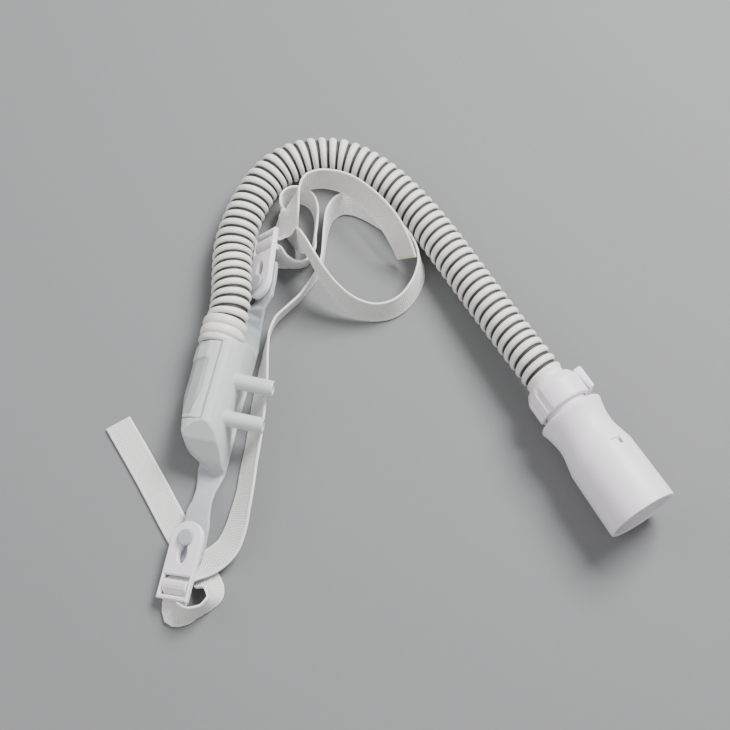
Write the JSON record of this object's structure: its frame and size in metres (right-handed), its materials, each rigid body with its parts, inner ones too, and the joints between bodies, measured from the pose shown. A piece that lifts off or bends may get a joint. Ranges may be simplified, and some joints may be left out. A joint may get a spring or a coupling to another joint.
{
  "type": "nasal_oxygen_cannula",
  "caption": "High-flow nasal oxygen cannula: short open nasal prongs on a soft wing band, corrugated breathing hose with a swivelling socket connector, and an elastic head strap in two buckles",
  "frame": {"origin": "middle of the nasal piece's underside, on the table plane", "axes": "-Z into the table under the nasal piece, +X along the connector's axis out of its mouth"},
  "size_m": [0.1883, 0.1651, 0.025],
  "materials": {
    "hose_plastic": "satin",
    "cuff_plastic": "satin",
    "manifold_plastic": "satin, milky and slightly see-through",
    "silicone": "satin, milky and slightly see-through",
    "rigid_plastic": "satin",
    "strap_fabric": "fine knit"
  },
  "bodies": {
    "cannula": {"hose": "hose_plastic", "hose_cuff": "cuff_plastic", "manifold": "manifold_plastic", "nasal_piece": "silicone", "buckle_upper": "rigid_plastic", "buckle_lower": "rigid_plastic", "strap": "strap_fabric", "collar": "rigid_plastic", "sleeve": "rigid_plastic"},
    "connector": {"connector": "rigid_plastic"}
  },
  "joints": [
    {"name": "connector_swivel", "type": "hinge", "parent": "cannula", "child": "connector", "pos_m": [0.067, 0.0977, 0.0125], "axis": [1, 0, 0], "continuous": true}
  ]
}
